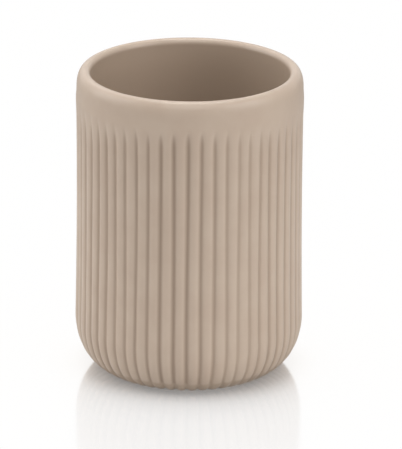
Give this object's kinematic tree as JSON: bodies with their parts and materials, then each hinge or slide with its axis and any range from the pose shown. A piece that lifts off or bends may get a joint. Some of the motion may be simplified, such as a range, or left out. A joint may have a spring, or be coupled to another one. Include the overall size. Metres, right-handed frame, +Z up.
{
  "type": "bathroom tumbler",
  "caption": "Ribbed ceramic bathroom tumbler with a plain band under a thick rounded rim, standing on soft anti-slip pads.",
  "frame": {"origin": "centre of the base, on the plane that the cup stands on", "axes": "+Z up along the cup's axis; -Y towards the picture's camera, where a valley between two ribs faces"},
  "size_m": [0.0808, 0.0808, 0.11],
  "materials": {
    "stoneware": "satin",
    "pad_silicone": "matte",
    "adhesive": "matte"
  },
  "bodies": {
    "root": {"cup_body": "stoneware", "anti_slip_pad_1": "pad_silicone", "anti_slip_pad_2": "pad_silicone", "anti_slip_pad_3": "pad_silicone", "anti_slip_pad_4": "pad_silicone", "adhesive_disc_1": "adhesive", "adhesive_disc_2": "adhesive", "adhesive_disc_3": "adhesive", "adhesive_disc_4": "adhesive"}
  },
  "joints": []
}
